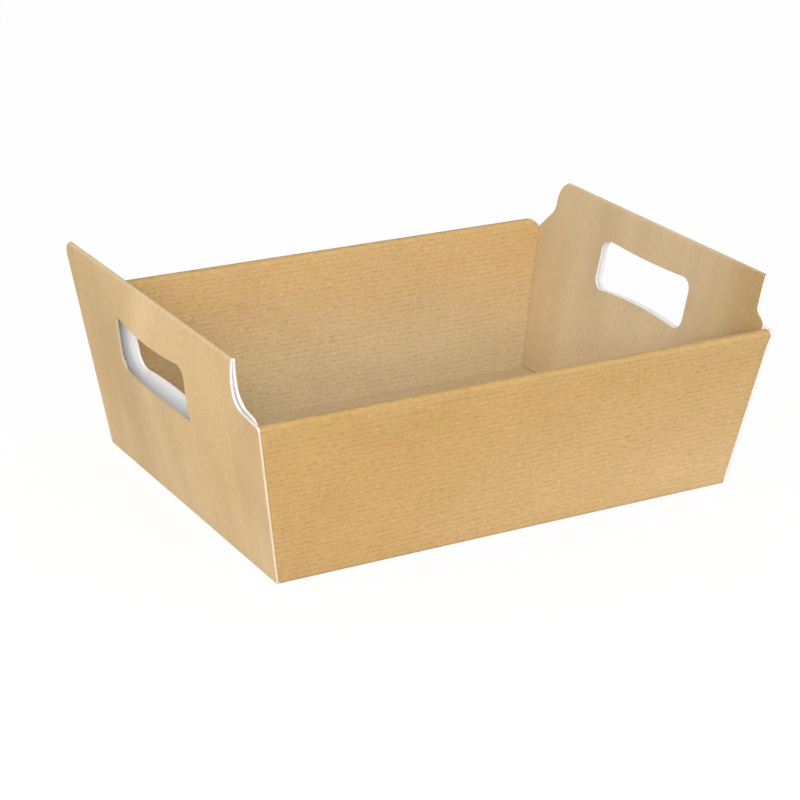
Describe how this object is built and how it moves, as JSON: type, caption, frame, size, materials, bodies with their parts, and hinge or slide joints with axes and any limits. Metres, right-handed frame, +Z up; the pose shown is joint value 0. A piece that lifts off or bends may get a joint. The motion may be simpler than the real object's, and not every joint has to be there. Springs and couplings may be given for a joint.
{
  "type": "cardboard basket",
  "caption": "Open rectangular basket folded from kraft-faced board, with leaning walls, rounded long rims and taller scooped ends pierced by bowed hand holes.",
  "frame": {"origin": "middle of the base's underside, on the surface the basket stands on", "axes": "+X along the length towards the right end, +Y towards the back long wall, +Z up"},
  "size_m": [0.3457, 0.2537, 0.1292],
  "materials": {
    "kraft_board": "matte"
  },
  "bodies": {
    "root": {"folded_basket": "kraft_board"}
  },
  "joints": []
}
